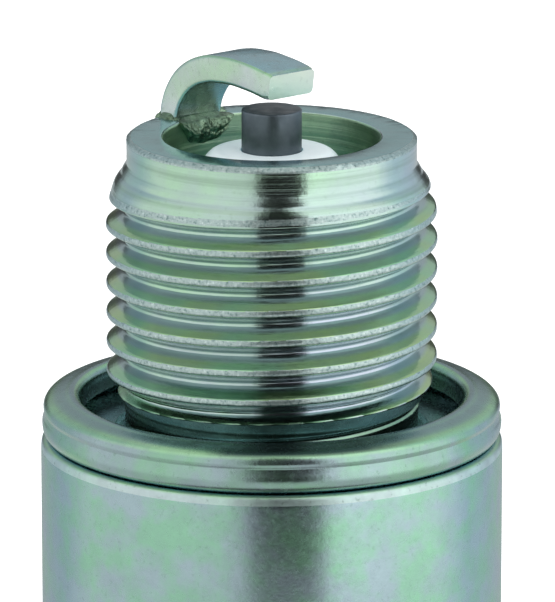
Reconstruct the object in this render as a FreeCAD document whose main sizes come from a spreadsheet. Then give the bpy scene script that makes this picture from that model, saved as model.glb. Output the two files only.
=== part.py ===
import FreeCAD, Part
import math
import os
import Sketcher

# Spark plug, M14 x 1.25 with a captive folded gasket, firing end along +Z.
# Millimetres. The origin is the centre of the gasket's sealing face.

SIZES = [
    # metal shell, firing end
    ("shell_end", 10.90), ("pilot_r", 6.03), ("pilot_low", 9.72), ("rim_chamfer", 0.15),
    ("thread_r", 6.90), ("thread_pitch", 1.25), ("thread_depth", 0.767), ("root_flat", 0.05),
    ("thread_start_r", 6.28), ("thread_start_z", 9.34), ("thread_mid_r", 6.60), ("thread_mid_z", 8.83),
    ("thread_top", 7.50), ("thread_low", 0.90), ("runout_r", 6.25), ("runout_z", -0.20),
    ("neck_r", 6.12), ("neck_z", -0.60),
    # metal shell, body
    ("seat_z", -1.90), ("collar_r", 9.65), ("collar_bevel", 0.28), ("collar_low", -9.40),
    ("waist_r", 8.50), ("waist_top", -9.90), ("waist_low", -11.60), ("hex_flats", 20.80),
    ("hex_top", -12.00), ("hex_low", -19.60), ("hex_chamfer", 0.70), ("crimp_r", 8.40),
    ("crimp_bend_z", -20.60), ("crimp_r_mid", 7.50), ("crimp_end", -21.60), ("crimp_lip_r", 5.60),
    # metal shell, bore
    ("bore_r", 4.50), ("ledge_top", 3.20), ("ledge_r", 3.80), ("ledge_lead", 0.45), ("ledge_low", 1.90),
    ("seat_slope", 0.5774), ("barrel_r", 4.95), ("barrel_low", -4.00), ("pocket_r", 7.00),
    ("pocket_top", -5.20), ("lip_face", -20.30),
    # ground electrode
    ("strap_width", 2.50), ("strap_thick", 1.15), ("strap_back", 5.85), ("strap_height", 3.22),
    ("strap_tip", 1.30), ("strap_tip_drop", 0.25), ("strap_bend", 2.70), ("strap_round", 0.22),
    ("strap_angle", -50.0),
    # weld bead round the foot of the ground electrode
    ("bead_height", 0.42), ("bead_reach", 0.32), ("bead_inner_reach", 0.30), ("bead_bevel", 0.14),
    # gasket
    ("sheet", 0.30), ("gasket_in_r", 8.05), ("gasket_land", 0.27), ("gasket_slope_r", 9.35),
    ("gasket_slope_z", -0.30), ("lobe_r", 9.55), ("lobe_z", -0.52), ("groove_r", 9.40), ("groove_z", -0.80),
    ("fold_r", 9.62), ("fold_z", -1.25), ("fold_low", -1.90), ("lip_r", 6.45),
    # insulator
    ("nose_z", 10.30), ("nose_tip_r", 2.30), ("nose_edge_r", 2.80), ("nose_edge_z", 9.85),
    ("nose_root_r", 3.40), ("nose_root_z", 3.30), ("nose_neck_r", 3.55), ("stem_r", 4.85),
    ("stem_low", -4.90), ("flange_r", 6.90), ("flange_top", -6.10), ("flange_low", -12.60),
    ("neck_out_r", 5.30), ("rib_top", -24.60), ("rib_pitch", 2.60), ("rib_depth", 0.55), ("rib_count", 5),
    ("head_low", -41.50), ("head_r", 4.30), ("head_shoulder", -39.80), ("head_edge", 0.50),
    ("nose_bore_r", 1.30), ("core_bore_r", 2.00), ("bore_step_z", -7.00), ("bore_step_low", -7.40),
    # centre electrode and the parts in the insulator's bore
    ("tip_z", 12.03), ("electrode_r", 1.25), ("tip_round", 0.12), ("electrode_head_r", 1.85),
    ("electrode_head_low", -9.20), ("core_r", 0.65), ("core_top", 9.20), ("core_low", -8.30),
    ("lower_seal_low", -12.00), ("resistor_low", -22.00), ("upper_seal_low", -26.50),
    ("stud_foot", -24.50), ("stud_r", 1.75), ("stud_foot_r", 1.45), ("stud_collar_top", -41.50),
    ("stud_collar_r", 2.60), ("stud_collar_low", -42.10), ("stud_thread_r", 2.00), ("stud_low", -49.90),
    ("stud_pitch", 0.70), ("stud_thread_depth", 0.36), ("stud_root_flat", 0.05), ("stud_end_chamfer", 0.40),
    # terminal nut
    ("nut_top", -42.10), ("nut_r", 3.15), ("nut_skirt_low", -43.70), ("nut_waist_r", 2.75),
    ("nut_waist_top", -44.30), ("nut_waist_low", -46.10), ("nut_crown_top", -46.80), ("nut_low", -50.50),
    ("nut_nose_r", 2.55), ("nut_nose", 0.80), ("nut_bore_r", 2.05), ("nut_edge", 0.15),
    # washer and packing
    ("washer_in_r", 3.95), ("washer_out_r", 4.80), ("washer_thick", 0.35), ("ring_wire_r", 0.85),
]

doc = FreeCAD.newDocument("spark_plug")
sheet = doc.addObject("Spreadsheet::Sheet", "Sizes")
for row, (alias, number) in enumerate(SIZES, start=1):
    sheet.set("A%d" % row, alias)
    sheet.set("B%d" % row, str(number))
    sheet.setAlias("B%d" % row, alias)
doc.recompute()


class Dim:
    """A length that knows both its value and the sheet expression behind it."""

    def __init__(self, value, text):
        self.value = value
        self.text = text

    def combine(self, other, sign, value):
        other = as_dim(other)
        return Dim(value(self.value, other.value), "(%s %s %s)" % (self.text, sign, other.text))

    def __add__(self, other):
        return self.combine(other, "+", lambda a, b: a + b)

    def __sub__(self, other):
        return self.combine(other, "-", lambda a, b: a - b)

    def __mul__(self, other):
        return self.combine(other, "*", lambda a, b: a * b)

    def __truediv__(self, other):
        return self.combine(other, "/", lambda a, b: a / b)

    def __neg__(self):
        return Dim(-self.value, "(0 - %s)" % self.text)


def as_dim(item):
    return item if isinstance(item, Dim) else Dim(float(item), repr(float(item)))


def size(alias):
    return Dim(float(sheet.get(alias)), "Sizes.%s" % alias)


def new_body(label):
    body = doc.addObject("PartDesign::Body", label)
    body.Label = label
    return body


def base_plane(body, role):
    for item in body.Origin.OriginFeatures:
        if item.Role == role:
            return item
    raise ValueError(role)


def polygon_sketch(body, name, role, points):
    """A closed outline whose every corner is tied to the sheet."""
    sketch = body.newObject("Sketcher::SketchObject", name)
    sketch.AttachmentSupport = [(base_plane(body, role), "")]
    sketch.MapMode = "FlatFace"
    corners = [(as_dim(x), as_dim(y)) for x, y in points]
    count = len(corners)
    for i in range(count):
        here, after = corners[i], corners[(i + 1) % count]
        sketch.addGeometry(Part.LineSegment(FreeCAD.Vector(here[0].value, here[1].value, 0),
                                            FreeCAD.Vector(after[0].value, after[1].value, 0)))
    for i in range(count):
        sketch.addConstraint(Sketcher.Constraint("Coincident", i, 2, (i + 1) % count, 1))
    for i, corner in enumerate(corners):
        for axis, dim in zip(("DistanceX", "DistanceY"), corner):
            index = sketch.addConstraint(Sketcher.Constraint(axis, -1, 1, i, 1, dim.value))
            sketch.setExpression("Constraints[%d]" % index, dim.text)
    doc.recompute()
    return sketch


def revolve(body, name, points):
    """A full turn about Z of an outline given as (radius, height) corners."""
    sketch = polygon_sketch(body, name + "_outline", "XZ_Plane", points)
    turn = body.newObject("PartDesign::Revolution", name)
    turn.Profile = sketch
    turn.ReferenceAxis = (sketch, ["V_Axis"])
    turn.Angle = 360
    body.Tip = turn
    doc.recompute()
    return turn


def cut_thread(body, name, crest_r, depth, root_flat, pitch, start_z, length):
    """A right-hand V groove of 60 degrees included angle, wound about Z."""
    over = 0.08
    flank = math.tan(math.radians(30))
    root = crest_r - depth
    outer = crest_r + over
    wide = root_flat + (depth + over) * flank
    outline = [(root, start_z - root_flat), (outer, start_z - wide),
               (outer, start_z + wide), (root, start_z + root_flat)]
    sketch = polygon_sketch(body, name + "_outline", "XZ_Plane", outline)
    groove = body.newObject("PartDesign::SubtractiveHelix", name)
    groove.Profile = sketch
    groove.ReferenceAxis = (sketch, ["V_Axis"])
    groove.Mode = 0
    groove.Pitch = pitch.value
    groove.setExpression("Pitch", pitch.text)
    groove.Height = length.value
    groove.setExpression("Height", length.text)
    groove.LeftHanded = False
    body.Tip = groove
    doc.recompute()
    return groove


# ---------------------------------------------------------------- metal shell
shell = new_body("metal_shell")
hex_corner = size("hex_flats") / (2 * math.cos(math.radians(30)))
seat_drop = (size("barrel_r") - size("ledge_r")) * size("seat_slope")
revolve(shell, "shell_turned", [
    (size("bore_r"), size("shell_end")),
    (size("pilot_r") - size("rim_chamfer"), size("shell_end")),
    (size("pilot_r"), size("shell_end") - size("rim_chamfer")),
    (size("pilot_r"), size("pilot_low")),
    (size("thread_start_r"), size("thread_start_z")),
    (size("thread_mid_r"), size("thread_mid_z")),
    (size("thread_r"), size("thread_top")),
    (size("thread_r"), size("thread_low")),
    (size("runout_r"), size("runout_z")),
    (size("neck_r"), size("neck_z")),
    (size("neck_r"), size("seat_z")),
    (size("collar_r") - size("collar_bevel"), size("seat_z")),
    (size("collar_r"), size("seat_z") - size("collar_bevel")),
    (size("collar_r"), size("collar_low")),
    (size("waist_r"), size("waist_top")),
    (size("waist_r"), size("waist_low")),
    (hex_corner - size("hex_chamfer") * 2, size("hex_top")),
    (hex_corner, size("hex_top") - size("hex_chamfer")),
    (hex_corner, size("hex_low") + size("hex_chamfer")),
    (hex_corner - size("hex_chamfer") * 2, size("hex_low")),
    (size("crimp_r"), size("hex_low")),
    (size("crimp_r"), size("crimp_bend_z")),
    (size("crimp_r_mid"), size("crimp_end")),
    (size("crimp_lip_r"), size("crimp_end")),
    (size("crimp_lip_r"), size("lip_face")),
    (size("pocket_r"), size("lip_face")),
    (size("pocket_r"), size("pocket_top")),
    (size("barrel_r"), size("barrel_low")),
    (size("barrel_r"), size("ledge_low") - seat_drop),
    (size("ledge_r"), size("ledge_low")),
    (size("ledge_r"), size("ledge_top") - size("ledge_lead")),
    (size("bore_r"), size("ledge_top")),
])

# the hexagon: everything outside six flats is cut away
hexagon = shell.newObject("Sketcher::SketchObject", "hexagon_outline")
hexagon.AttachmentSupport = [(base_plane(shell, "XY_Plane"), "")]
hexagon.MapMode = "FlatFace"
hexagon.AttachmentOffset = FreeCAD.Placement(FreeCAD.Vector(0, 0, size("waist_low").value), FreeCAD.Rotation())
hexagon.setExpression("AttachmentOffset.Base.z", "Sizes.waist_low")
for i in range(6):
    ends = []
    for turn in (i, i + 1):
        angle = math.radians(60 * turn + 30)
        ends.append(FreeCAD.Vector(hex_corner.value * math.cos(angle), hex_corner.value * math.sin(angle), 0))
    hexagon.addGeometry(Part.LineSegment(ends[0], ends[1]))
for i in range(6):
    hexagon.addConstraint(Sketcher.Constraint("Coincident", i, 2, (i + 1) % 6, 1))
    angle = math.radians(60 * i + 30)
    corner = (hex_corner * math.cos(angle), hex_corner * math.sin(angle))
    for axis, dim in zip(("DistanceX", "DistanceY"), corner):
        index = hexagon.addConstraint(Sketcher.Constraint(axis, -1, 1, i, 1, dim.value))
        hexagon.setExpression("Constraints[%d]" % index, dim.text)
ring = hexagon.addGeometry(Part.Circle(FreeCAD.Vector(0, 0, 0), FreeCAD.Vector(0, 0, 1), 16))
hexagon.addConstraint(Sketcher.Constraint("Coincident", ring, 3, -1, 1))
index = hexagon.addConstraint(Sketcher.Constraint("Radius", ring, 16))
hexagon.setExpression("Constraints[%d]" % index, (hex_corner + 4).text)
doc.recompute()
flats = shell.newObject("PartDesign::Pocket", "wrench_flats")
flats.Profile = hexagon
flats.Length = size("waist_low").value - size("hex_low").value
flats.setExpression("Length", (size("waist_low") - size("hex_low")).text)
shell.Tip = flats
doc.recompute()

cut_thread(shell, "screw_thread", size("thread_r"), size("thread_depth"), size("root_flat"),
           size("thread_pitch"), size("neck_z") + 0.30, size("shell_end") - size("neck_z"))

# ----------------------------------------------------------- ground electrode
# Side outline in the plane of the bend: X along the arm (tip positive), Y up.
strap = new_body("ground_electrode")
BEND_STEPS = 6


def strap_outline():
    """Leg, rounded bend and arm, first along the outside and then back inside."""
    back = -size("strap_back")
    foot = size("shell_end")
    top = foot + size("strap_height")
    bend = size("strap_bend")
    inner_bend = bend - size("strap_thick")
    centre = (back + bend, top - bend)
    tip_top = top - size("strap_tip_drop")
    tip = size("strap_tip")
    points = [(back, foot)]
    for step in range(BEND_STEPS + 1):
        angle = math.radians(180 - 90 * step / BEND_STEPS)
        points.append((centre[0] + bend * math.cos(angle), centre[1] + bend * math.sin(angle)))
    points.append((tip, tip_top))
    points.append((tip, tip_top - size("strap_thick")))
    for step in range(BEND_STEPS + 1):
        angle = math.radians(90 + 90 * step / BEND_STEPS)
        points.append((centre[0] + inner_bend * math.cos(angle), centre[1] + inner_bend * math.sin(angle)))
    points.append((back + size("strap_thick"), foot))
    return points


strap_side = polygon_sketch(strap, "strap_outline", "XZ_Plane", strap_outline())
strap_pad = strap.newObject("PartDesign::Pad", "strap_bar")
strap_pad.Profile = strap_side
strap_pad.Length = size("strap_width").value
strap_pad.setExpression("Length", "Sizes.strap_width")
strap_pad.Midplane = True
strap.Tip = strap_pad
doc.recompute()


def long_edges(shape, half_width):
    """Names of the outline edges on both broad sides, apart from the foot."""
    names = []
    foot = size("shell_end").value
    for number, edge in enumerate(shape.Edges, start=1):
        box = edge.BoundBox
        on_side = abs(box.YMin - box.YMax) < 1e-6 and abs(abs(box.YMin) - half_width) < 1e-6
        at_foot = box.ZMax < foot + 1e-6
        if on_side and not at_foot and box.XMax < size("strap_tip").value - 1e-6:
            names.append("Edge%d" % number)
        elif on_side and not at_foot and box.XMax - box.XMin > 1e-6:
            names.append("Edge%d" % number)
    return names


rounding = strap.newObject("PartDesign::Fillet", "strap_rounding")
rounding.Base = (strap_pad, long_edges(strap_pad.Shape, size("strap_width").value / 2))
rounding.Radius = size("strap_round").value
rounding.setExpression("Radius", "Sizes.strap_round")
strap.Tip = rounding
doc.recompute()
strap.Placement = FreeCAD.Placement(FreeCAD.Vector(0, 0, 0),
                                    FreeCAD.Rotation(FreeCAD.Vector(0, 0, 1), size("strap_angle").value))

# ------------------------------------------------------------------ weld bead
# A low collar of weld metal on the rim, open in the middle for the strap's leg.
bead = new_body("ground_electrode_weld")
half = size("strap_width") / 2
reach = size("bead_reach")
leg_back = -size("strap_back")
leg_front = leg_back + size("strap_thick")
bead_plan = bead.newObject("Sketcher::SketchObject", "bead_outline")
bead_plan.AttachmentSupport = [(base_plane(bead, "XY_Plane"), "")]
bead_plan.MapMode = "FlatFace"
bead_plan.AttachmentOffset = FreeCAD.Placement(FreeCAD.Vector(0, 0, size("shell_end").value), FreeCAD.Rotation())
bead_plan.setExpression("AttachmentOffset.Base.z", "Sizes.shell_end")
loops = [
    [(leg_back, half + reach), (leg_front + size("bead_inner_reach"), half + reach),
     (leg_front + size("bead_inner_reach"), -(half + reach)), (leg_back, -(half + reach)),
     (leg_back - reach * 0.6, -half), (leg_back - reach * 0.6, half)],
    [(leg_back, half), (leg_front, half), (leg_front, -half), (leg_back, -half)],
]
for loop in loops:
    first = bead_plan.GeometryCount
    count = len(loop)
    for i in range(count):
        here, after = loop[i], loop[(i + 1) % count]
        bead_plan.addGeometry(Part.LineSegment(FreeCAD.Vector(here[0].value, here[1].value, 0),
                                               FreeCAD.Vector(after[0].value, after[1].value, 0)))
    for i in range(count):
        bead_plan.addConstraint(Sketcher.Constraint("Coincident", first + i, 2, first + (i + 1) % count, 1))
    for i, corner in enumerate(loop):
        for axis, dim in zip(("DistanceX", "DistanceY"), corner):
            index = bead_plan.addConstraint(Sketcher.Constraint(axis, -1, 1, first + i, 1, dim.value))
            bead_plan.setExpression("Constraints[%d]" % index, dim.text)
doc.recompute()
bead_pad = bead.newObject("PartDesign::Pad", "bead_block")
bead_pad.Profile = bead_plan
bead_pad.Length = size("bead_height").value
bead_pad.setExpression("Length", "Sizes.bead_height")
bead.Tip = bead_pad
doc.recompute()
top_edges = []
bead_top = size("shell_end").value + size("bead_height").value
inner_limit = leg_back.value - 1e-6, leg_front.value + 1e-6, half.value + 1e-6
for number, edge in enumerate(bead_pad.Shape.Edges, start=1):
    box = edge.BoundBox
    inside = (box.XMin > inner_limit[0] and box.XMax < inner_limit[1]
              and abs(box.YMin) < inner_limit[2] and abs(box.YMax) < inner_limit[2])
    if box.ZMin > bead_top - 1e-6 and not inside:
        top_edges.append("Edge%d" % number)
bead_slope = bead.newObject("PartDesign::Chamfer", "bead_slope")
bead_slope.Base = (bead_pad, top_edges)
bead_slope.Size = size("bead_bevel").value
bead_slope.setExpression("Size", "Sizes.bead_bevel")
bead.Tip = bead_slope
doc.recompute()
bead.Placement = FreeCAD.Placement(FreeCAD.Vector(0, 0, 0),
                                   FreeCAD.Rotation(FreeCAD.Vector(0, 0, 1), size("strap_angle").value))

# --------------------------------------------------------------------- gasket
# Sheet metal folded to a ring: a lip held under the thread, a lower fold, a
# groove, an upper lobe and the sloping roof that ends in the sealing land.
gasket = new_body("sealing_gasket")
sheet_t = size("sheet")
revolve(gasket, "folded_ring", [
    (size("gasket_in_r"), 0),
    (size("gasket_in_r") + size("gasket_land"), 0),
    (size("gasket_slope_r"), size("gasket_slope_z")),
    (size("lobe_r"), size("lobe_z")),
    (size("groove_r"), size("groove_z")),
    (size("fold_r"), size("fold_z")),
    (size("fold_r") - sheet_t * 0.4, size("fold_low") + sheet_t * 0.4),
    (size("fold_r") - sheet_t, size("fold_low")),
    (size("lip_r"), size("fold_low")),
    (size("lip_r"), size("fold_low") + sheet_t),
    (size("gasket_in_r"), size("fold_low") + sheet_t),
    (size("fold_r") - sheet_t * 1.3, size("fold_low") + sheet_t),
    (size("fold_r") - sheet_t, size("fold_z")),
    (size("groove_r") - sheet_t, size("groove_z")),
    (size("lobe_r") - sheet_t * 1.1, size("lobe_z") - sheet_t * 0.1),
    (size("gasket_in_r") + sheet_t, -sheet_t * 1.05),
    (size("gasket_in_r") + sheet_t, size("groove_z") - sheet_t),
    (size("gasket_in_r"), size("groove_z") - sheet_t),
])

# ------------------------------------------------------------------ insulator
insulator = new_body("insulator")


def seat_height(radius):
    """Height of the insulator's shoulder at a radius, one washer below the ledge."""
    rise = (radius - size("ledge_r")) * size("seat_slope")
    return size("ledge_low") - rise - size("washer_thick")


def insulator_outline():
    points = [
        (size("nose_bore_r"), size("nose_z")),
        (size("nose_tip_r"), size("nose_z")),
        (size("nose_edge_r"), size("nose_edge_z")),
        (size("nose_root_r"), size("nose_root_z")),
        (size("nose_neck_r"), size("nose_root_z") - 0.6),
        (size("nose_neck_r"), seat_height(size("nose_neck_r"))),
        (size("stem_r"), seat_height(size("stem_r"))),
        (size("stem_r"), size("stem_low")),
        (size("flange_r"), size("flange_top")),
        (size("flange_r"), size("flange_low")),
        (size("neck_out_r"), size("flange_low")),
        (size("neck_out_r"), size("rib_top")),
    ]
    low_r = size("neck_out_r") - size("rib_depth")
    pitch = size("rib_pitch")
    for rib in range(int(sheet.get("rib_count"))):
        top = size("rib_top") - pitch * rib
        points += [(low_r, top - pitch * 0.16), (low_r, top - pitch * 0.44),
                   (size("neck_out_r") - 0.08, top - pitch * 0.62),
                   (size("neck_out_r") - 0.08, top - pitch * 1.0)]
    points += [
        (size("neck_out_r") - 0.35, size("head_shoulder")),
        (size("head_r"), size("head_low") + size("head_edge")),
        (size("head_r") - size("head_edge"), size("head_low")),
        (size("core_bore_r"), size("head_low")),
        (size("core_bore_r"), size("bore_step_low")),
        (size("nose_bore_r"), size("bore_step_z")),
    ]
    return points


revolve(insulator, "fired_ceramic", insulator_outline())

# ---------------------------------------------- centre electrode and its core
electrode = new_body("center_electrode")
revolve(electrode, "nickel_sheath", [
    (0, size("tip_z")),
    (size("electrode_r") - size("tip_round"), size("tip_z")),
    (size("electrode_r"), size("tip_z") - size("tip_round")),
    (size("electrode_r"), size("bore_step_z") - 0.1),
    (size("electrode_head_r"), size("bore_step_low") - 0.05),
    (size("electrode_head_r"), size("electrode_head_low")),
    (size("core_r") + 0.35, size("electrode_head_low")),
    (size("core_r"), size("core_low")),
    (size("core_r"), size("core_top") - 0.4),
    (0, size("core_top")),
])

core = new_body("center_electrode_copper_core")
revolve(core, "copper_slug", [
    (0, size("core_top")),
    (size("core_r"), size("core_top") - 0.4),
    (size("core_r"), size("core_low")),
    (0, size("core_low")),
])

lower_seal = new_body("lower_glass_seal")
revolve(lower_seal, "lower_glass", [
    (0, size("core_low")),
    (size("core_r"), size("core_low")),
    (size("core_r") + 0.35, size("electrode_head_low")),
    (size("electrode_head_r"), size("electrode_head_low")),
    (size("electrode_head_r"), size("electrode_head_low") + 0.5),
    (size("core_bore_r"), size("electrode_head_low") + 0.5),
    (size("core_bore_r"), size("lower_seal_low")),
    (0, size("lower_seal_low")),
])

resistor = new_body("resistor_element")
revolve(resistor, "resistor_rod", [
    (0, size("lower_seal_low")),
    (size("core_bore_r"), size("lower_seal_low")),
    (size("core_bore_r"), size("resistor_low")),
    (0, size("resistor_low")),
])

upper_seal = new_body("upper_glass_seal")
revolve(upper_seal, "upper_glass", [
    (0, size("resistor_low")),
    (size("core_bore_r"), size("resistor_low")),
    (size("core_bore_r"), size("upper_seal_low")),
    (size("stud_r"), size("upper_seal_low")),
    (size("stud_foot_r"), size("stud_foot")),
    (0, size("stud_foot")),
])

# -------------------------------------------------- terminal stud and its nut
stud = new_body("terminal_stud")
revolve(stud, "stud_turned", [
    (0, size("stud_foot")),
    (size("stud_foot_r"), size("stud_foot")),
    (size("stud_r"), size("upper_seal_low")),
    (size("stud_r"), size("stud_collar_top")),
    (size("stud_collar_r"), size("stud_collar_top")),
    (size("stud_collar_r"), size("stud_collar_low")),
    (size("stud_thread_r"), size("stud_collar_low")),
    (size("stud_thread_r"), size("stud_low") + size("stud_end_chamfer")),
    (size("stud_thread_r") - size("stud_end_chamfer"), size("stud_low")),
    (0, size("stud_low")),
])
cut_thread(stud, "stud_thread", size("stud_thread_r"), size("stud_thread_depth"), size("stud_root_flat"),
           size("stud_pitch"), size("stud_low") - 0.7,
           size("stud_collar_low") - size("stud_low") - 0.3)

nut = new_body("terminal_nut")
revolve(nut, "nut_turned", [
    (size("nut_bore_r"), size("nut_top")),
    (size("nut_r") - size("nut_edge"), size("nut_top")),
    (size("nut_r"), size("nut_top") - size("nut_edge")),
    (size("nut_r"), size("nut_skirt_low")),
    (size("nut_waist_r"), size("nut_waist_top")),
    (size("nut_waist_r"), size("nut_waist_low")),
    (size("nut_r"), size("nut_crown_top")),
    (size("nut_r"), size("nut_low") + size("nut_nose")),
    (size("nut_nose_r"), size("nut_low")),
    (size("nut_bore_r"), size("nut_low")),
])

# --------------------------------------------------------- washer and packing
washer = new_body("lower_packing_washer")


def ledge_height(radius):
    return size("ledge_low") - (radius - size("ledge_r")) * size("seat_slope")


revolve(washer, "cone_washer", [
    (size("washer_in_r"), ledge_height(size("washer_in_r"))),
    (size("washer_out_r"), ledge_height(size("washer_out_r"))),
    (size("washer_out_r"), seat_height(size("washer_out_r"))),
    (size("washer_in_r"), seat_height(size("washer_in_r"))),
])


def wire_ring(label, height):
    """A round wire bent to a ring, tangent to the insulator's neck and the shell."""
    ring = doc.addObject("Part::Torus", label)
    ring.Label = label
    mean = (size("neck_out_r") + size("pocket_r")) / 2
    ring.Radius1 = mean.value
    ring.setExpression("Radius1", mean.text)
    ring.Radius2 = size("ring_wire_r").value
    ring.setExpression("Radius2", "Sizes.ring_wire_r")
    ring.Placement = FreeCAD.Placement(FreeCAD.Vector(0, 0, height.value), FreeCAD.Rotation())
    ring.setExpression("Placement.Base.z", height.text)
    return ring


first_ring = wire_ring("packing_ring_lower", size("flange_low") - size("ring_wire_r"))
second_ring = wire_ring("packing_ring_upper", size("lip_face") + size("ring_wire_r"))

talc = new_body("talc_ring")
revolve(talc, "pressed_talc", [
    (size("neck_out_r"), size("flange_low") - size("ring_wire_r") * 2),
    (size("pocket_r"), size("flange_low") - size("ring_wire_r") * 2),
    (size("pocket_r"), size("lip_face") + size("ring_wire_r") * 2),
    (size("neck_out_r"), size("lip_face") + size("ring_wire_r") * 2),
])

# --------------------------------------------------------------------- export
doc.recompute()
for item in doc.Objects:
    if any(flag in ("Invalid", "Error") for flag in item.State):
        raise RuntimeError("%s did not build: %s" % (item.Name, item.State))

SUB_PARTS = [shell, strap, bead, gasket, insulator, electrode, core, lower_seal, resistor, upper_seal,
             stud, nut, washer, talc, first_ring, second_ring]
os.makedirs("parts", exist_ok=True)
for item in SUB_PARTS:
    if item.Shape.isNull() or not item.Shape.isValid():
        raise RuntimeError("%s has no sound shape" % item.Label)
for item in SUB_PARTS:
    item.Shape.exportStep(os.path.join("parts", item.Label + ".step"))
    print("%-32s %10.3f mm3" % (item.Label, item.Shape.Volume))
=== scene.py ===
import math

import bmesh
import bpy
import numpy as np
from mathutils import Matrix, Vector, noise


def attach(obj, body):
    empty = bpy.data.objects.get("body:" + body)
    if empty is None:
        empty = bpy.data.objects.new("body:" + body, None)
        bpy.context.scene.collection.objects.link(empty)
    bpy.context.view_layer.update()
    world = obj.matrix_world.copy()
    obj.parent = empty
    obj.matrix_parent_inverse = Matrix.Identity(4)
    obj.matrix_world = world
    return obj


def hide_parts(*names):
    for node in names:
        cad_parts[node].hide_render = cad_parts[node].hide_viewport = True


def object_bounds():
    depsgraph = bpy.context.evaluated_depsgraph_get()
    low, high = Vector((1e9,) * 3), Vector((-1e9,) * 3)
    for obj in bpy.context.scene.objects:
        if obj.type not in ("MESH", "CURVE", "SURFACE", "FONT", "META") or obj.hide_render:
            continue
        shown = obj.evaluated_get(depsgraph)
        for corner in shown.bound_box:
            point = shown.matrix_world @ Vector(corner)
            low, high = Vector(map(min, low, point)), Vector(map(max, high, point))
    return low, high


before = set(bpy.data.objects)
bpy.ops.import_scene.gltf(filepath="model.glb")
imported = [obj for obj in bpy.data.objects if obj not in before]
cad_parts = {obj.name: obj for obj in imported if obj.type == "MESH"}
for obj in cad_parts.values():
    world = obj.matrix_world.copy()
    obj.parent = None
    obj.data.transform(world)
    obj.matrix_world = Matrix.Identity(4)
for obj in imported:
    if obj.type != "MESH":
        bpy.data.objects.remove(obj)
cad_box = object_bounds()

MM = 0.001
TURN = 360                      # columns round the axis, one per degree
ANGLES = np.radians(np.arange(TURN))

# ------------------------------------------------------------------ sizes, mm
RIM_Z, RIM_R, BORE_R = 10.90, 6.03, 4.50
PITCH, CREST_R, ROOT_R = 1.25, 6.90, 6.12
CREST_AT_ZERO = 6.575           # height of a thread crest where the angle is 0
NECK_R, SEAT_Z = 6.12, -1.90
COLLAR_R, COLLAR_BEVEL, COLLAR_LOW = 9.65, 0.28, -9.40
WAIST_R, WAIST_TOP, WAIST_LOW = 8.50, -9.90, -11.60
HEX_FLAT, HEX_TOP, HEX_LOW, HEX_CHAMFER = 10.40, -12.00, -19.60, 0.70
HEX_CORNER = HEX_FLAT / math.cos(math.radians(30))
STRAP_ANGLE, STRAP_WIDTH, STRAP_THICK = math.radians(-50.0), 2.50, 1.15


# ------------------------------------------------------------- mesh functions
def grid_piece(name, points, close_rows=False, cap_start=False, cap_end=False, sharp=40):
    """A mesh from points[row][column] = (x, y, z) in mm; columns close on themselves."""
    rows, cols, _ = points.shape
    verts = [tuple(p) for p in (points.reshape(-1, 3) * MM)]
    faces = []
    last = rows if close_rows else rows - 1
    for i in range(last):
        a, b = i * cols, ((i + 1) % rows) * cols
        for j in range(cols):
            k = (j + 1) % cols
            faces.append((a + j, a + k, b + k, b + j))
    for wanted, row, flip in ((cap_start, 0, True), (cap_end, rows - 1, False)):
        if wanted:
            centre = points[row].mean(axis=0) * MM
            verts.append(tuple(centre))
            middle = len(verts) - 1
            for j in range(cols):
                k = (j + 1) % cols
                a, b = row * cols + j, row * cols + k
                faces.append((middle, b, a) if flip else (middle, a, b))
    mesh = bpy.data.meshes.new(name)
    mesh.from_pydata(verts, [], faces)
    mesh.update()
    for polygon in mesh.polygons:
        polygon.use_smooth = True
    mesh.set_sharp_from_angle(angle=math.radians(sharp))
    piece = bpy.data.objects.new(name, mesh)
    bpy.context.scene.collection.objects.link(piece)
    return piece


def face_out(piece):
    """Turns every face of a closed piece outwards."""
    work = bmesh.new()
    work.from_mesh(piece.data)
    bmesh.ops.recalc_face_normals(work, faces=work.faces)
    work.to_mesh(piece.data)
    work.free()
    return piece


def rounded(points, radius, steps=4):
    """A polyline in which each inner corner is replaced by a small curve."""
    points = [np.array(p, float) for p in points]
    out = [points[0]]
    for before, corner, after in zip(points, points[1:], points[2:]):
        a, b = before - corner, after - corner
        la, lb = np.linalg.norm(a), np.linalg.norm(b)
        reach = min(radius, la * 0.45, lb * 0.45)
        start, end = corner + a / la * reach, corner + b / lb * reach
        for step in range(steps + 1):
            t = step / steps
            out.append(start * (1 - t) ** 2 + corner * 2 * t * (1 - t) + end * t * t)
    out.append(points[-1])
    return np.array(out)


def smooth_path(points, steps=8):
    """A Catmull-Rom curve through the points."""
    p = [np.array(q, float) for q in points]
    p = [2 * p[0] - p[1]] + p + [2 * p[-1] - p[-2]]
    out = []
    for i in range(1, len(p) - 2):
        for step in range(steps):
            t = step / steps
            out.append(0.5 * (2 * p[i] + (p[i + 1] - p[i - 1]) * t
                              + (2 * p[i - 1] - 5 * p[i] + 4 * p[i + 1] - p[i + 2]) * t ** 2
                              + (3 * p[i] - p[i - 1] - 3 * p[i + 1] + p[i + 2]) * t ** 3))
    out.append(p[-2])
    return np.array(out)


def spread(profile):
    """The radii and heights of an outline, one row each, repeated round the axis."""
    profile = np.asarray(profile, float)
    return np.repeat(profile[:, :1], TURN, axis=1), np.repeat(profile[:, 1:2], TURN, axis=1)


def revolve_rows(profile, wobble=None):
    """Rows of points for an outline of (radius, height) turned about Z."""
    r, z = spread(profile)
    if wobble is not None:
        r, z = wobble(r, z)
    return polar(r, z)


def polar(r, z):
    return np.stack([r * np.cos(ANGLES)[None, :], r * np.sin(ANGLES)[None, :], z], axis=-1)


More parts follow.
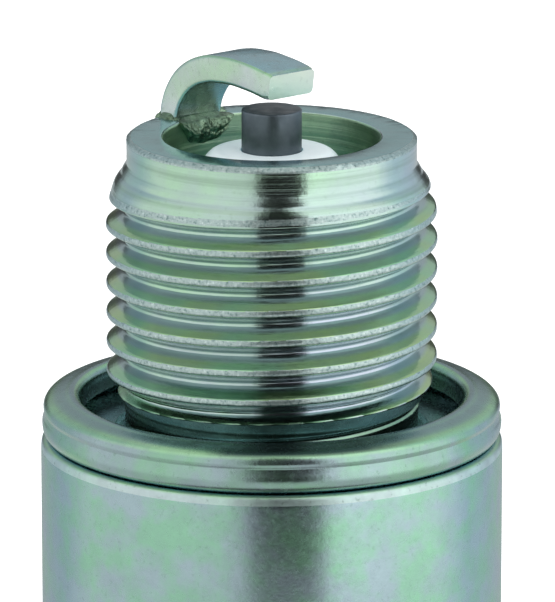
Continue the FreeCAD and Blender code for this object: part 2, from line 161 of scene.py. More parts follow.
def noise_rows(r, z, scale, stretch=(1, 1, 1), seed=0.0):
    """Smooth noise between -1 and 1 at each point of a polar grid."""
    xyz = polar(r, z) / scale
    out = np.empty(r.shape)
    for i in range(r.shape[0]):
        for j in range(r.shape[1]):
            x, y, h = xyz[i, j]
            out[i, j] = noise.noise(Vector((x * stretch[0] + seed, y * stretch[1], h * stretch[2])))
    return out


def soft_min(a, b, blend):
    h = np.clip(0.5 + 0.5 * (b - a) / blend, 0, 1)
    return b * (1 - h) + a * h - blend * h * (1 - h)


def soft_max(a, b, blend):
    return -soft_min(-a, -b, blend)


# ------------------------------------------------------------------ materials
def node_material(name, base, metallic, roughness):
    material = bpy.data.materials.new(name)
    material.use_nodes = True
    tree = material.node_tree
    shader = tree.nodes["Principled BSDF"]
    shader.inputs["Base Color"].default_value = (*base, 1)
    shader.inputs["Metallic"].default_value = metallic
    shader.inputs["Roughness"].default_value = roughness
    return material, tree, shader


def noise_node(tree, scale, detail=3.0, stretch=(1, 1, 1), roughness=0.5):
    """Noise in object space; scale is in features per metre."""
    coords = tree.nodes.new("ShaderNodeTexCoord")
    mapping = tree.nodes.new("ShaderNodeMapping")
    mapping.inputs["Scale"].default_value = stretch
    texture = tree.nodes.new("ShaderNodeTexNoise")
    texture.inputs["Scale"].default_value = scale
    texture.inputs["Detail"].default_value = detail
    texture.inputs["Roughness"].default_value = roughness
    tree.links.new(coords.outputs["Object"], mapping.inputs["Vector"])
    tree.links.new(mapping.outputs["Vector"], texture.inputs["Vector"])
    return texture.outputs["Fac"]


def ramp(tree, value, stops):
    node = tree.nodes.new("ShaderNodeValToRGB")
    elements = node.color_ramp.elements
    while len(elements) < len(stops):
        elements.new(0.5)
    for element, (position, colour) in zip(elements, stops):
        element.position = position
        element.color = (*colour, 1) if len(colour) == 3 else colour
    tree.links.new(value, node.inputs["Fac"])
    return node.outputs["Color"]


def mix_colour(tree, factor, a, b, mode="MIX"):
    node = tree.nodes.new("ShaderNodeMix")
    node.data_type = "RGBA"
    node.blend_type = mode
    for socket, value in ((node.inputs[0], factor), (node.inputs[6], a), (node.inputs[7], b)):
        if isinstance(value, (int, float)):
            socket.default_value = value
        elif isinstance(value, tuple):
            socket.default_value = (*value, 1)
        else:
            tree.links.new(value, socket)
    return node.outputs[2]


def map_range(tree, value, low, high, to_low, to_high):
    node = tree.nodes.new("ShaderNodeMapRange")
    for index, number in enumerate((low, high, to_low, to_high), start=1):
        node.inputs[index].default_value = number
    tree.links.new(value, node.inputs[0])
    return node.outputs[0]


def math_node(tree, operation, a, b=None):
    node = tree.nodes.new("ShaderNodeMath")
    node.operation = operation
    for socket, value in zip(node.inputs, (a, b)):
        if isinstance(value, (int, float)):
            socket.default_value = value
        elif value is not None:
            tree.links.new(value, socket)
    return node.outputs[0]


def add_bump(tree, shader, heights):
    """Chains bumps; heights is a list of (output, distance in metres)."""
    normal = None
    for output, distance in heights:
        node = tree.nodes.new("ShaderNodeBump")
        node.inputs["Strength"].default_value = 1.0
        node.inputs["Distance"].default_value = distance
        tree.links.new(output, node.inputs["Height"])
        if normal is not None:
            tree.links.new(normal, node.inputs["Normal"])
        normal = node.outputs["Normal"]
    tree.links.new(normal, shader.inputs["Normal"])


def fade(tree, value, start, end, amount=1.0):
    """0 at start, rising to amount at end."""
    return map_range(tree, value, start, end, 0.0, amount)


def scaled(colour, factor):
    return tuple(c * factor for c in colour)


# chromate film colours: two that drift into each other, then tints by how a face lies, which are painted
# reflection of the sky and floor that the plate mirrors
GREEN = (0.38, 0.58, 0.42)
LILAC = (0.44, 0.50, 0.58)
TOP_REFLECTION_GREEN = (0.34, 0.60, 0.35)
TOP_REFLECTION_OLIVE = (0.42, 0.58, 0.27)
ROOT_LILAC = (0.36, 0.47, 0.46)
UNDER_REFLECTION_TEAL = (0.41, 0.51, 0.52)
FLAT_REFLECTION_GREY = (0.27, 0.53, 0.55)
# painted dark reflection on the front of the gasket's roof
PAINTED_REFLECTION_DARK = (0.05, 0.09, 0.09)
FLANK_SPLIT = (6.36 * MM, 6.54 * MM)    # lilac inside, green outside, on a thread flank


def radius_node(tree):
    """Distance from the plug's axis, in metres."""
    coords = tree.nodes.new("ShaderNodeTexCoord")
    flatten = tree.nodes.new("ShaderNodeVectorMath")
    flatten.operation = "MULTIPLY"
    flatten.inputs[1].default_value = (1, 1, 0)
    length = tree.nodes.new("ShaderNodeVectorMath")
    length.operation = "LENGTH"
    tree.links.new(coords.outputs["Object"], flatten.inputs[0])
    tree.links.new(flatten.outputs[0], length.inputs[0])
    return length.outputs["Value"]


def split_coords(tree, output):
    """The three parts of a texture coordinate, as outputs."""
    coords = tree.nodes.new("ShaderNodeTexCoord")
    split = tree.nodes.new("ShaderNodeSeparateXYZ")
    tree.links.new(coords.outputs[output], split.inputs[0])
    return split.outputs


def flank_reflection_tone(tree):
    """Painted reflection tint for the upper thread flanks: lilac by the root, green to olive by the
    crest.
    """
    olive = fade(tree, noise_node(tree, 240.0, 2.0), 0.42, 0.60)
    tone = mix_colour(tree, olive, TOP_REFLECTION_GREEN, TOP_REFLECTION_OLIVE)
    return mix_colour(tree, fade(tree, radius_node(tree), *FLANK_SPLIT), ROOT_LILAC, tone)


def front_painted_reflection(tree, upward):
    """A ragged dark patch on the roof of the gasket, on its front side only: a painted dark reflection
    of the thread above it.
    """
    x, y, _ = split_coords(tree, "Object")
    around = math_node(tree, "ARCTAN2", x, math_node(tree, "MULTIPLY", y, -1.0))
    ragged = map_range(tree, noise_node(tree, 900.0, 4.0, roughness=0.7), 0.0, 1.0, -0.20, 0.20)
    around = math_node(tree, "ADD", around, ragged)
    dark_patch = math_node(tree, "MULTIPLY", fade(tree, around, -0.40, -0.12), fade(tree, around, 0.80, 0.42))
    return math_node(tree, "MULTIPLY", dark_patch, fade(tree, upward, 0.72, 0.90, 0.92))


def plated(name, green, lilac, roughness, mottle, turned=0.0, grain=1.0, flat_reflection_tone=FLAT_REFLECTION_GREY,
           thread=False, paint_front_reflection=False, patch=110.0):
    """Zinc plate under a thin chromate film that drifts from green to lilac.

    mottle: strength of clouds and specks; turned: depth of the lathe lines;
    grain: fineness of the surface; patch: drift patches per metre.
    """
    material, tree, shader = node_material(name, green, 1.0, roughness)
    drift = fade(tree, noise_node(tree, patch, 5.0, roughness=0.55), 0.38, 0.62)
    colour = mix_colour(tree, drift, green, lilac)

    # painted reflection: faces that lie up towards the firing end are tinted green, flat tops grey and
    # faces that lie down teal, for the sky and floor that the plate mirrors
    upward = split_coords(tree, "Normal")[2]
    top_reflection_tone = flank_reflection_tone(tree) if thread else TOP_REFLECTION_GREEN
    colour = mix_colour(tree, fade(tree, upward, 0.45, 0.80), colour, top_reflection_tone)
    colour = mix_colour(tree, fade(tree, upward, 0.92, 0.985), colour, flat_reflection_tone)
    colour = mix_colour(tree, fade(tree, upward, -0.35, -0.75), colour, UNDER_REFLECTION_TEAL)

    cloud = fade(tree, noise_node(tree, 900.0, 4.0, roughness=0.65), 0.35, 0.7, mottle)
    colour = mix_colour(tree, cloud, colour, scaled(lilac, 0.72))
    if turned:
        streak = noise_node(tree, 1.0, 3.0, stretch=(45, 45, 2600), roughness=0.65)
        colour = mix_colour(tree, fade(tree, streak, 0.50, 0.70, 0.42), colour, scaled(green, 0.42))
    speck = fade(tree, noise_node(tree, 5200.0, 2.0), 0.62, 0.72, mottle * 0.7)
    colour = mix_colour(tree, speck, colour, scaled(green, 0.45))
    # painted dark reflection of the thread above, on the front of the gasket's roof
    if paint_front_reflection:
        colour = mix_colour(tree, front_painted_reflection(tree, upward), colour, PAINTED_REFLECTION_DARK)
    tree.links.new(colour, shader.inputs["Base Color"])

    wear = noise_node(tree, 1400.0 * grain, 3.0)
    rough = map_range(tree, wear, 0.3, 0.7, roughness * 0.9, roughness * 1.15)
    tree.links.new(rough, shader.inputs["Roughness"])

    heights = [(noise_node(tree, 2600.0 * grain, 4.0), 0.000012 * (0.4 + mottle) / grain)]
    if turned:
        lines = noise_node(tree, 1.0, 3.0, stretch=(60, 60, 9000), roughness=0.7)
        heights.append((lines, 0.00001 * turned))
    add_bump(tree, shader, heights)
    return material


def worn_plate():
    """Crests and rim edge, where the plating is knocked off in specks."""
    material, tree, shader = node_material("zinc_worn", (0.5, 0.6, 0.58), 1.0, 0.34)
    specks = noise_node(tree, 7500.0, 3.0, roughness=0.7)
    colour = ramp(tree, specks, [(0.32, (0.14, 0.22, 0.21)), (0.45, (0.34, 0.44, 0.43)),
                                 (0.58, (0.40, 0.50, 0.48)), (0.72, (0.58, 0.68, 0.67))])
    tree.links.new(colour, shader.inputs["Base Color"])
    add_bump(tree, shader, [(noise_node(tree, 6000.0, 3.0), 0.000012)])
    return material


def speckled(name, light, dark, metallic, roughness, scale, bump, stretch=(1, 1, 1)):
    """A plain material whose colour, gloss and relief follow noise; bump is in metres."""
    material, tree, shader = node_material(name, light, metallic, roughness)
    wave = noise_node(tree, scale, 4.0, stretch=stretch, roughness=0.6)
    tree.links.new(ramp(tree, wave, [(0.3, dark), (0.7, light)]), shader.inputs["Base Color"])
    wear = noise_node(tree, scale * 2.3, 3.0)
    rough = map_range(tree, wear, 0.3, 0.7, roughness * 0.8, roughness * 1.3)
    tree.links.new(rough, shader.inputs["Roughness"])
    add_bump(tree, shader, [(noise_node(tree, scale * 3.0, 3.0, stretch=stretch), bump)])
    return material


def glazed(material, weight, roughness):
    """Adds the clear glaze over the white body."""
    shader = material.node_tree.nodes["Principled BSDF"]
    shader.inputs["Coat Weight"].default_value = weight
    shader.inputs["Coat Roughness"].default_value = roughness
    return shader


zinc_bright = plated("zinc_bright", GREEN, LILAC, 0.16, 0.22, turned=0.8, thread=True)
zinc_strap = plated("zinc_strap", (0.40, 0.58, 0.41), (0.50, 0.55, 0.58), 0.26, 0.45,
                    flat_reflection_tone=(0.36, 0.62, 0.70), patch=300.0)
# collar bevel: speckled worn plating, made paler as a painted highlight along the edge
zinc_worn_edge_highlight = plated("zinc_worn_edge_highlight", (0.46, 0.64, 0.58), (0.50, 0.60, 0.62), 0.34, 0.80, grain=3.0)
zinc_pale = plated("zinc_pale", (0.62, 0.72, 0.62), (0.68, 0.72, 0.74), 0.30, 0.20)
zinc_bore = plated("zinc_bore", (0.40, 0.58, 0.36), (0.36, 0.50, 0.38), 0.34, 0.50, turned=2.0)
zinc_satin = plated("zinc_satin", (0.25, 0.49, 0.34), (0.32, 0.43, 0.46), 0.25, 0.30,
                    grain=2.6, patch=620.0)
zinc_gasket = plated("zinc_gasket", (0.23, 0.45, 0.29), (0.30, 0.40, 0.42), 0.25, 0.40, grain=2.0,
                     flat_reflection_tone=(0.24, 0.38, 0.40), paint_front_reflection=True, patch=420.0)
zinc_shaded = plated("zinc_shaded", (0.24, 0.38, 0.27), (0.18, 0.27, 0.24), 0.26, 0.55)
zinc_worn = worn_plate()

nickel_dark = speckled("nickel_dark", (0.125, 0.155, 0.175), (0.085, 0.105, 0.125),
                       0.80, 0.36, 900.0, 0.000006)
weld_metal = speckled("weld_metal", (0.26, 0.38, 0.26), (0.04, 0.07, 0.045), 1.0, 0.32, 2500.0, 0.00006)
# the outer body is the same white ceramic painted greyer: painted shade
glazed_body = speckled("glazed_body", (0.66, 0.68, 0.69), (0.60, 0.62, 0.63), 0.0, 0.30, 500.0, 0.000004)
alumina = speckled("alumina", (0.97, 0.97, 0.96), (0.92, 0.92, 0.91), 0.0, 0.38, 700.0, 0.000004)
copper = speckled("copper", (0.72, 0.36, 0.22), (0.55, 0.25, 0.15), 1.0, 0.30, 600.0, 0.000005)
seal_glass = speckled("seal_glass", (0.16, 0.16, 0.18), (0.08, 0.08, 0.09), 0.2, 0.30, 1100.0, 0.00001)
resistor_mix = speckled("resistor_mix", (0.10, 0.10, 0.11), (0.03, 0.03, 0.035),
                        0.0, 0.70, 2400.0, 0.00002)
bright_steel = speckled("bright_steel", (0.62, 0.62, 0.63), (0.52, 0.52, 0.54), 1.0, 0.24,
                        500.0, 0.000006, stretch=(0.2, 0.2, 6))
nut_plate = speckled("nut_plate", (0.68, 0.66, 0.61), (0.58, 0.56, 0.52), 1.0, 0.20,
                     500.0, 0.000005, stretch=(0.2, 0.2, 8))
bare_steel = speckled("bare_steel", (0.50, 0.50, 0.51), (0.40, 0.40, 0.41), 1.0, 0.36, 900.0, 0.000008)
talc_powder = speckled("talc_powder", (0.80, 0.79, 0.76), (0.66, 0.65, 0.62), 0.0, 0.85, 2600.0, 0.00002)

glazed(glazed_body, 0.60, 0.08)
glowing_nose_shader = glazed(alumina, 0.35, 0.12)
# a faint bluish glow on the white ceramic nose: painted light, since the ceramic is no lamp
glowing_nose_shader.inputs["Emission Color"].default_value = (0.35, 0.85, 1.0, 1)
glowing_nose_shader.inputs["Emission Strength"].default_value = 0.17


def finish_piece(piece, body, node, material):
    piece.data.materials.append(material)
    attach(piece, body)
    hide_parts(node)
    return piece


# ---------------------------------------------------------------- metal shell
# (height, radius) of the cylinder and cones over which the thread is cut
ENVELOPE = [(10.75, 6.03), (9.80, 6.03), (9.70, 6.08), (9.51, 6.20), (9.34, 6.28), (9.17, 6.43),
            (9.00, 6.54), (8.83, 6.60), (8.65, 6.66), (8.31, 6.74), (8.00, 6.82), (7.50, 6.90),
            (0.95, 6.90), (0.35, 6.62), (-0.20, 6.27), (-0.60, 6.13), (-1.90, 6.12)]
THREAD_TOP, NECK_TOP = RIM_Z - 0.17, SEAT_Z + 0.12      # ends of the finely sampled length
ROW_STEP = 0.030
CREST_FLAT = 0.11               # half width of a crest
GROOVE_START, GROOVE_FADE = 9.10, 0.55                  # the groove fades in below this height
RUNOUT_LOW, RUNOUT_FADE = -1.10, 0.8


def thread_radius(z):
    """Outer radius over the threaded length, and the distance from the crest, for a grid of heights."""
    env_z = np.array([p[0] for p in ENVELOPE])[::-1]
    env_r = np.array([p[1] for p in ENVELOPE])[::-1]
    limit = np.interp(z, env_z, env_r)
    crest = CREST_AT_ZERO + PITCH * ANGLES[None, :] / (2 * math.pi)
    away = np.abs((z - crest + PITCH / 2) % PITCH - PITCH / 2)
    slope = math.tan(math.radians(61))
    cut = soft_max((away - CREST_FLAT) * slope, 0.03 * (away / CREST_FLAT) ** 2, 0.05)
    cut = soft_min(cut, np.full_like(cut, CREST_R - ROOT_R), 0.10)
    turns = np.floor((z - crest) / PITCH)
    groove = crest + (turns + 0.5) * PITCH
    full = np.clip((GROOVE_START - groove) / GROOVE_FADE, 0, 1)
    full = full * np.clip((groove - RUNOUT_LOW) / RUNOUT_FADE, 0, 1)
    full = full * full * (3 - 2 * full)
    return soft_min(limit, limit - (cut - (CREST_R - limit) * 0.9) * full, 0.05), away


def thread_rows():
    """The threaded length, with worn crests and faint lathe lines."""
    heights = np.arange(THREAD_TOP, NECK_TOP, -ROW_STEP)
    z = np.repeat(heights[:, None], TURN, axis=1)
    r, away = thread_radius(z)
    on_crest = np.clip(1 - away / 0.13, 0, 1) * np.clip((r - 6.3) / 0.4, 0, 1)
    nick = noise_rows(r, z, 0.30, stretch=(1, 1, 0.5), seed=3.1)
    burr = noise_rows(r, z, 0.9, stretch=(1, 1, 2.4), seed=8.7)
    r = r + on_crest * (0.016 * nick - 0.022 * np.maximum(burr, 0))
    lines = np.array([noise.noise(Vector((0.3, 0.7, h * 7.0))) for h in heights])[:, None]
    return polar(r + 0.006 * lines * (1 - on_crest), z)


def rim_rows():
    """The flat rim, with an outer edge that is chipped."""
    r, z = spread(rounded([(BORE_R, RIM_Z - 0.10), (BORE_R + 0.07, RIM_Z), (RIM_R - 0.17, RIM_Z),
                           (RIM_R, RIM_Z - 0.13)], 0.05, 3))
    chips = noise_rows(r, z, 0.22, seed=1.7)
    edge = np.clip((r - (RIM_R - 0.30)) / 0.2, 0, 1)
    return polar(r - edge * 0.035 * np.maximum(chips, 0), z - edge * 0.030 * np.maximum(-chips, 0))


def hexagon_rows():
    """Six flats with rounded corners, under two chamfer cones."""
    heights = np.concatenate([np.arange(HEX_TOP, HEX_TOP - 0.9, -0.06),
                              np.arange(HEX_TOP - 1.2, HEX_LOW + 1.1, -0.6),
                              np.arange(HEX_LOW + 0.9, HEX_LOW, -0.06), [HEX_LOW]])
    z = np.repeat(heights[:, None], TURN, axis=1)
    far = 99.0
    flat = np.full((1, TURN), far)
    for k in range(6):
        facing = np.cos(ANGLES - math.radians(60 * k))[None, :]
        plane = np.where(facing > 0.2, HEX_FLAT / np.maximum(facing, 0.2), far)
        flat = soft_min(flat, plane, 0.12)
    top_cone = HEX_CORNER - 2 * HEX_CHAMFER + 2 * (HEX_TOP - z)
    low_cone = HEX_CORNER - 2 * HEX_CHAMFER + 2 * (z - HEX_LOW)
    flat = np.repeat(flat, len(heights), axis=0)
    return polar(soft_min(soft_min(flat, top_cone, 0.10), low_cone, 0.10), z)


def shell_rows():
    """The whole skin of the shell: down the outside, round the crimp and up the bore."""
    collar = rounded([(NECK_R, NECK_TOP), (NECK_R, SEAT_Z), (COLLAR_R - COLLAR_BEVEL, SEAT_Z),
                      (COLLAR_R - 0.10, SEAT_Z - 0.07), (COLLAR_R - 0.02, SEAT_Z - 0.20),
                      (COLLAR_R, SEAT_Z - 0.45), (COLLAR_R, COLLAR_LOW),
                      (WAIST_R, WAIST_TOP), (WAIST_R, WAIST_LOW)], 0.10, 4)
    crimp = rounded([(8.40, HEX_LOW), (8.40, -20.60), (7.50, -21.60), (5.60, -21.60), (5.60, -20.30),
                     (7.00, -20.30)], 0.35, 5)
    inner = rounded([(7.00, -20.30), (7.00, -5.20), (4.95, -4.00), (4.95, 1.236), (3.80, 1.90),
                     (3.80, 2.75), (4.50, 3.20)], 0.06, 3)
    bore_z = np.arange(3.25, RIM_Z - 0.13, 0.06)
    rings = np.array([0.027 * abs(noise.noise(Vector((4.4, 0.2, h * 3.2)))) for h in bore_z])
    bore = np.stack([BORE_R + rings, bore_z], axis=1)
    parts = [rim_rows(), thread_rows(), revolve_rows(collar), hexagon_rows(), revolve_rows(crimp),
             revolve_rows(inner[1:]), revolve_rows(bore)]
    return np.concatenate(parts, axis=0)


shell = face_out(grid_piece("shell_skin", shell_rows(), close_rows=True, sharp=50))
finish_piece(shell, "plug", "metal_shell", zinc_bright)


def crest_distance(point):
    """How far a point of the thread lies, along the axis, from the nearest crest."""
    turn = (math.atan2(point.y, point.x) / (2 * math.pi)) % 1.0
    return abs((point.z - CREST_AT_ZERO - PITCH * turn + PITCH / 2) % PITCH - PITCH / 2)


SATIN, WORN, BORE, SHADED, WORN_EDGE_HIGHLIGHT = 1, 2, 3, 4, 5
for extra in (zinc_satin, zinc_worn, zinc_bore, zinc_shaded, zinc_worn_edge_highlight):
    shell.data.materials.append(extra)
for polygon in shell.data.polygons:
    middle = polygon.center / MM
    radius = math.hypot(middle.x, middle.y)
    on_crest = radius > CREST_R - 0.36 and middle.z < 8.95 and crest_distance(middle) < 0.125
    on_rim_edge = radius > RIM_R - 0.20 and RIM_Z - 0.24 < middle.z < RIM_Z - 0.005
    # the collar's bevel gets worn plating with a painted highlight
    if radius > COLLAR_R - 0.30 and SEAT_Z - 0.42 < middle.z < SEAT_Z + 0.1:
        polygon.material_index = WORN_EDGE_HIGHLIGHT
    elif middle.z < SEAT_Z - 0.1:
        polygon.material_index = SATIN
    elif radius < BORE_R + 0.12 and middle.z < RIM_Z - 0.03:
        polygon.material_index = BORE
    elif middle.z < 0.35 and radius < 6.70:
        polygon.material_index = SHADED
    elif on_crest or on_rim_edge:
        polygon.material_index = WORN

# --------------------------------------------------------------------- gasket
SHEET = 0.30                    # thickness of the folded steel
fold = smooth_path([(8.10, -1.05), (8.17, -0.60), (8.19, -0.26), (8.33, -0.14), (8.62, -0.20),
                    (9.05, -0.30), (9.30, -0.42), (9.39, -0.58), (9.33, -0.80), (9.38, -1.02),
                    (9.45, -1.25), (9.38, -1.58), (9.15, -1.74), (8.70, -1.75), (7.60, -1.75),
                    (6.62, -1.75)], 6)
tangent = np.gradient(fold, axis=0)
tangent /= np.linalg.norm(tangent, axis=1)[:, None]
side = np.stack([tangent[:, 1], -tangent[:, 0]], axis=1) * SHEET / 2
outline = np.concatenate([fold - side, (fold + side)[::-1]])


def gasket_wobble(r, z):
    """Slight unevenness of a pressed ring, stronger towards its roof."""
    wave = noise_rows(r, z, 5.0, seed=12.0)
    fine = noise_rows(r, z, 0.8, seed=5.0)
    drop = np.clip((z + 1.5) / 1.2, 0, 1)
    return r + 0.012 * wave + 0.004 * fine, z - 0.02 * np.maximum(wave, 0) * drop


gasket_rows = revolve_rows(outline, gasket_wobble)
gasket = face_out(grid_piece("gasket_ring", gasket_rows, close_rows=True, sharp=60))
finish_piece(gasket, "gasket", "sealing_gasket", zinc_gasket)


# ----------------------------------------------------------- ground electrode
def strap_ring(half_width, half_thick, corner, steps=5):
    """A rounded rectangle as (across, out) pairs."""
    ring = []
    for sx, sy, start in ((1, 1, 0), (-1, 1, 90), (-1, -1, 180), (1, -1, 270)):
        for step in range(steps):
            angle = math.radians(start + 90 * step / (steps - 1))
            ring.append((sx * (half_width - corner) + corner * math.cos(angle),
                         sy * (half_thick - corner) + corner * math.sin(angle)))
    return ring


def strap_rows():
    """Sections of the strap from its foot to its tip, in the plane of the bend."""
    centre = smooth_path([(-5.32, RIM_Z - 0.02), (-5.24, RIM_Z + 0.45), (-4.98, RIM_Z + 1.05),
                          (-4.50, RIM_Z + 1.65), (-3.80, RIM_Z + 2.14), (-3.00, RIM_Z + 2.44),
                          (-2.10, RIM_Z + 2.58), (-1.07, RIM_Z + 2.62), (0.05, RIM_Z + 2.53),
                          (1.22, RIM_Z + 2.36)], 8)
    along = np.gradient(centre, axis=0)
    along /= np.linalg.norm(along, axis=1)[:, None]
    rows = []
    count = len(centre)
    end_inset = {count - 1: 0.05, count - 2: 0.015}
    for i, ((u, h), (du, dh)) in enumerate(zip(centre, along)):
        inset = end_inset.get(i, 0.0)
        thick = STRAP_THICK * (1.03 - 0.03 * i / count)
        ring = strap_ring(STRAP_WIDTH / 2 - inset, thick / 2 - inset, 0.20)
        row = []
        for across, out in ring:
            x, y, z = u - dh * out, -across, h + du * out
            dent = noise.noise(Vector((x * 1.6, y * 1.6, z * 1.6))) * 0.012
            row.append((x - dh * dent, y, z + du * dent))
        rows.append(row)
    rows.append([(x + along[-1][0] * 0.04, y, z + along[-1][1] * 0.04) for x, y, z in rows[-1]])
    return np.array(rows)


def turn_about_z(points, angle):
    c, s = math.cos(angle), math.sin(angle)
    out = points.copy()
    out[..., 0] = points[..., 0] * c - points[..., 1] * s
    out[..., 1] = points[..., 0] * s + points[..., 1] * c
    return out


strap = face_out(grid_piece("ground_electrode_strap", turn_about_z(strap_rows(), STRAP_ANGLE),
                            cap_start=True, cap_end=True, sharp=50))
finish_piece(strap, "plug", "ground_electrode", zinc_strap)
strap.data.materials.append(zinc_pale)
arm = Vector((math.cos(STRAP_ANGLE), math.sin(STRAP_ANGLE), 0.0))
for polygon in strap.data.polygons:
    if polygon.normal.dot(arm) > 0.9 and polygon.center.dot(arm) > 1.0 * MM:
        polygon.material_index = 1


# ----------------------------------------------------------------------- weld
STRAP_FOOT = -5.29              # middle of the strap's thickness where it meets the rim


def weld_flash(steps=8, around=144):
    """A thin ragged lip of upset metal round the foot of the strap, on the rim."""
    half_w, half_t = STRAP_WIDTH / 2, STRAP_THICK / 2
    rows = []
    for i in range(steps + 1):
        t = i / steps
        row = []
        for j in range(around):
            angle = 2 * math.pi * j / around
            c, s = math.cos(angle), math.sin(angle)
            x0 = math.copysign(abs(c) ** 0.3, c) * half_t
            y0 = math.copysign(abs(s) ** 0.3, s) * half_w
            rough = 0.5 + 0.9 * noise.noise(Vector((c * 2.2, s * 2.2, 4.5)))
            fine = noise.noise(Vector((c * 9.0, s * 9.0, t * 3.0)))
            reach = (0.14 + 0.26 * max(rough, 0) * max(-c, abs(s)) + 0.05 * fine) * t
            rise = (0.12 + 0.16 * max(rough, 0) + 0.05 * fine) * (1 - t) ** 0.8
            rise = rise * (1 if c < 0.3 else 0.6)
            row.append((STRAP_FOOT + x0 * 0.97 + c * reach, y0 * 0.97 + s * reach,
                        RIM_Z + rise - 0.02 * t))
        rows.append(row)
    rows.append([(x, y, z - 0.30) for x, y, z in rows[-1]])
    return np.array(rows)


def weld_root(across=64, down=40):
    """The melted mass that hangs from the strap's foot against the wall of the bore."""
    rows = []
    for i in range(across + 1):
        w = -1.38 + 2.76 * i / across
        edge = max(0.0, 1 - abs(w / 1.42) ** 3)
        ring = []
        for j in range(down + 1):
            t = j / down
            lump = noise.noise(Vector((w * 2.6, t * 4.0, 1.3))) * 0.5
            lump += noise.noise(Vector((w * 6.5, t * 9.0, 7.7))) * 0.28
            belly = math.sin(math.pi * min(1, t * 0.9 + 0.05))
            depth = 0.16 + 0.26 * belly + 0.30 * lump * min(1, t * 1.6)
            depth = max(0.03, depth) * (0.35 + 0.65 * edge)
            fall = 1.15 + 0.30 * noise.noise(Vector((w * 1.9, 2.2, 0.4)))
            h = RIM_Z + 0.10 * edge - (0.05 + fall * edge) * t
            radius = BORE_R - depth * (1 - 0.75 * max(0.0, t - 0.8) / 0.2)
            if t < 0.12:
                radius = BORE_R + 0.15 * (0.12 - t) / 0.12 - depth * t / 0.12
            ring.append((-math.sqrt(max(radius ** 2 - w ** 2, 0.1)), w, h))
        back = [(-math.sqrt((BORE_R + 0.25) ** 2 - w ** 2), w, h - 0.04) for _, _, h in ring[::-1]]
        rows.append(ring + back)
    return np.array(rows)


for name, shape in (("weld_flash", weld_flash()), ("weld_root", weld_root())):
    shape = turn_about_z(shape, STRAP_ANGLE)
    weld = face_out(grid_piece(name, shape, cap_start=True, cap_end=True, sharp=70))
    finish_piece(weld, "plug", "ground_electrode_weld", weld_metal)

# ------------------------------------------------------------------ insulator
RIB_TOP, RIB_PITCH, NECK_OUT = -24.60, 2.60, 5.30
BODY_BELOW = -13.0              # under this height the ceramic is the outer, ribbed half
outside = [(1.30, 10.30), (2.45, 10.30), (2.85, 9.90), (3.40, 3.30), (3.55, 2.70), (3.55, 1.694),
           (4.85, 0.944), (4.85, -4.90), (6.90, -6.10), (6.90, -12.60), (5.30, -12.60), (5.30, RIB_TOP)]
for rib in range(5):
    top = RIB_TOP - RIB_PITCH * rib
    outside += [(NECK_OUT - 0.55, top - RIB_PITCH * 0.16), (NECK_OUT - 0.55, top - RIB_PITCH * 0.44),
                (NECK_OUT - 0.08, top - RIB_PITCH * 0.62), (NECK_OUT - 0.08, top - RIB_PITCH)]
outside += [(NECK_OUT - 0.35, -39.80), (4.30, -41.00), (3.80, -41.50), (2.00, -41.50), (2.00, -7.40),
            (1.30, -7.00), (1.30, 10.30)]
insulator = face_out(grid_piece("insulator_ceramic", revolve_rows(rounded(outside, 0.28, 5)[:-1]),
                                close_rows=True, sharp=45))
finish_piece(insulator, "plug", "insulator", alumina)
insulator.data.materials.append(glazed_body)
for polygon in insulator.data.polygons:
    if polygon.center.z < BODY_BELOW * MM:
        polygon.material_index = 1

# ----------------------------------------------------------- centre electrode
pin = [(0.001, 12.03), (1.20, 12.03), (1.25, 11.98), (1.25, -7.10), (1.85, -7.45), (1.85, -9.20),
       (1.00, -9.20), (0.65, -8.30), (0.65, 8.80), (0.001, 9.20)]
electrode = face_out(grid_piece("centre_electrode_pin", revolve_rows(rounded(pin, 0.07, 4)), sharp=45))
finish_piece(electrode, "plug", "center_electrode", nickel_dark)


# ------------------------------------------------------ terminal stud and nut
def stud_rows():
    """The stud: a smooth foot, a collar and an M4 thread with a chamfered end."""
    pitch, crest_r, root_r = 0.70, 2.00, 1.66
    top = rounded([(0.001, -24.50), (1.45, -24.50), (1.75, -26.50), (1.75, -41.50), (2.60, -41.50),
                   (2.60, -42.10), (2.00, -42.10)], 0.06, 3)
    fine = np.arange(-42.15, -49.85, -0.035)
    z = np.repeat(fine[:, None], TURN, axis=1)
    crest = -45.0 + pitch * ANGLES[None, :] / (2 * math.pi)
    away = np.abs((z - crest + pitch / 2) % pitch - pitch / 2)
    flank = crest_r + 0.02 - np.maximum(away - 0.05, 0) * math.tan(math.radians(60))
    flank = soft_max(flank, np.full_like(flank, root_r), 0.05)
    limit = np.where(z < -49.5, 2.0 - (-49.5 - z), 2.0)
    r = soft_min(limit, flank, 0.03)
    end = np.array([(1.55, -49.90), (0.001, -49.90)])
    return np.concatenate([revolve_rows(top), polar(r, z), revolve_rows(end)], axis=0)


stud = face_out(grid_piece("terminal_stud_rod", stud_rows(), sharp=50))
finish_piece(stud, "plug", "terminal_stud", bright_steel)

nut_outline = rounded([(2.05, -42.10), (3.00, -42.10), (3.15, -42.25), (3.15, -43.70), (2.75, -44.30),
                       (2.75, -46.10), (3.15, -46.80), (3.15, -49.70), (2.55, -50.50), (2.05, -50.50),
                       (2.05, -42.10)], 0.12, 5)[:-1]
nut = face_out(grid_piece("terminal_nut_cap", revolve_rows(nut_outline), close_rows=True, sharp=45))
finish_piece(nut, "nut", "terminal_nut", nut_plate)

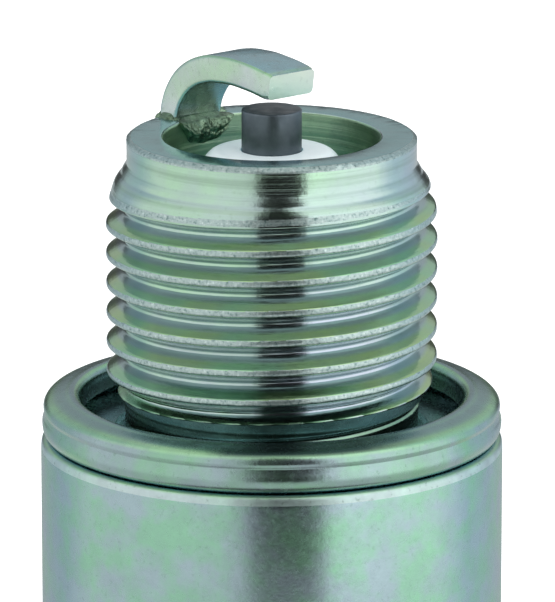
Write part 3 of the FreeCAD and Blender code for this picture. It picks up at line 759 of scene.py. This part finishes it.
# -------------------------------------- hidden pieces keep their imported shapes
HIDDEN = {"center_electrode_copper_core": copper, "lower_glass_seal": seal_glass,
          "upper_glass_seal": seal_glass, "resistor_element": resistor_mix,
          "lower_packing_washer": bare_steel, "talc_ring": talc_powder,
          "packing_ring_lower": bare_steel, "packing_ring_upper": bare_steel}
for node, material in HIDDEN.items():
    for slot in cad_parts[node].material_slots:
        slot.material = material

# ---------------------------------------------------------------------- stage
NUT_TRAVEL = 9.5                # the floor lies clear of the nut at the end of its travel
FLOOR_Z = cad_box[0][2] - (NUT_TRAVEL + 1.0) * MM
bpy.ops.mesh.primitive_plane_add(size=6.0, location=(0, 0, FLOOR_Z))
floor = bpy.context.object
floor.name = "floor"
floor_paint, _, floor_shader = node_material("floor_paint", (0.92, 0.92, 0.92), 0.0, 0.9)
floor_shader.inputs["Emission Color"].default_value = (1, 1, 1, 1)
floor_shader.inputs["Emission Strength"].default_value = 0.55
floor.data.materials.append(floor_paint)
floor.visible_glossy = False

# studio surround: two broad soft lights beside the camera with a dark gap between
world = bpy.data.worlds.new("studio")
bpy.context.scene.world = world
world.use_nodes = True
sky = world.node_tree
background = sky.nodes["Background"]
direction = sky.nodes.new("ShaderNodeTexCoord")
split = sky.nodes.new("ShaderNodeSeparateXYZ")
sky.links.new(direction.outputs["Generated"], split.inputs[0])


def sky_math(operation, a, b=None):
    return math_node(sky, operation, a, b)


azimuth = sky_math("ARCTAN2", split.outputs[0], sky_math("MULTIPLY", split.outputs[1], -1.0))
round_sky = map_range(sky, azimuth, -math.pi, math.pi, 0.0, 1.0)


def at(angle):
    """Where an angle in degrees, 0 towards the camera, falls on the ramp."""
    return (angle + 180.0) / 360.0


def grey(level, tint=(1, 1, 1)):
    return tuple(level * t for t in tint)


COOL = (0.82, 0.97, 1.08)
surround = ramp(sky, round_sky, [
    (at(-180), grey(0.48)), (at(-125), grey(0.75, COOL)), (at(-104), grey(1.10)), (at(-40), grey(1.20)),
    (at(-13), grey(1.05)), (at(-10.5), grey(0.02)), (at(25), grey(0.02)), (at(27.5), grey(1.75)),
    (at(90), grey(1.55)), (at(112), grey(1.0, COOL)), (at(180), grey(0.48))])
toward_back, upward = split.outputs[1], split.outputs[2]
# overhead light, a dark strip low behind, a bright floor and darkness straight below
lean = sky_math("MULTIPLY", toward_back, 0.35)
overhead = fade(sky, sky_math("ADD", upward, lean), 0.88, 0.99)
surround = mix_colour(sky, overhead, surround, grey(0.85))
behind = fade(sky, toward_back, 0.80, 0.92)
from_level = sky_math("ABSOLUTE", sky_math("SUBTRACT", upward, 0.03))
low_strip = sky_math("MULTIPLY", behind, fade(sky, from_level, 0.16, 0.11))
surround = mix_colour(sky, low_strip, surround, grey(0.08))
surround = mix_colour(sky, fade(sky, upward, -0.32, -0.44), surround, grey(0.90))
surround = mix_colour(sky, fade(sky, upward, -0.80, -0.88), surround, grey(0.08))
sky.links.new(surround, background.inputs["Color"])
background.inputs["Strength"].default_value = 1.0

# --------------------------------------------------------------------- camera
CAM_DISTANCE, CAM_ELEVATION, CAM_LENS = 0.284, math.radians(14.4), 408.0
target = Vector((0.24, 0.0, 3.82)) * MM
camera_data = bpy.data.cameras.new("camera")
camera_data.lens = CAM_LENS
camera_data.sensor_width = 36.0
camera_data.clip_start = 0.01
camera = bpy.data.objects.new("camera", camera_data)
bpy.context.scene.collection.objects.link(camera)
camera.location = target + Vector((0, -math.cos(CAM_ELEVATION), math.sin(CAM_ELEVATION))) * CAM_DISTANCE
camera.rotation_euler = (math.radians(90) - CAM_ELEVATION, 0, 0)
bpy.context.scene.camera = camera
bpy.context.scene.view_settings.view_transform = "Standard"
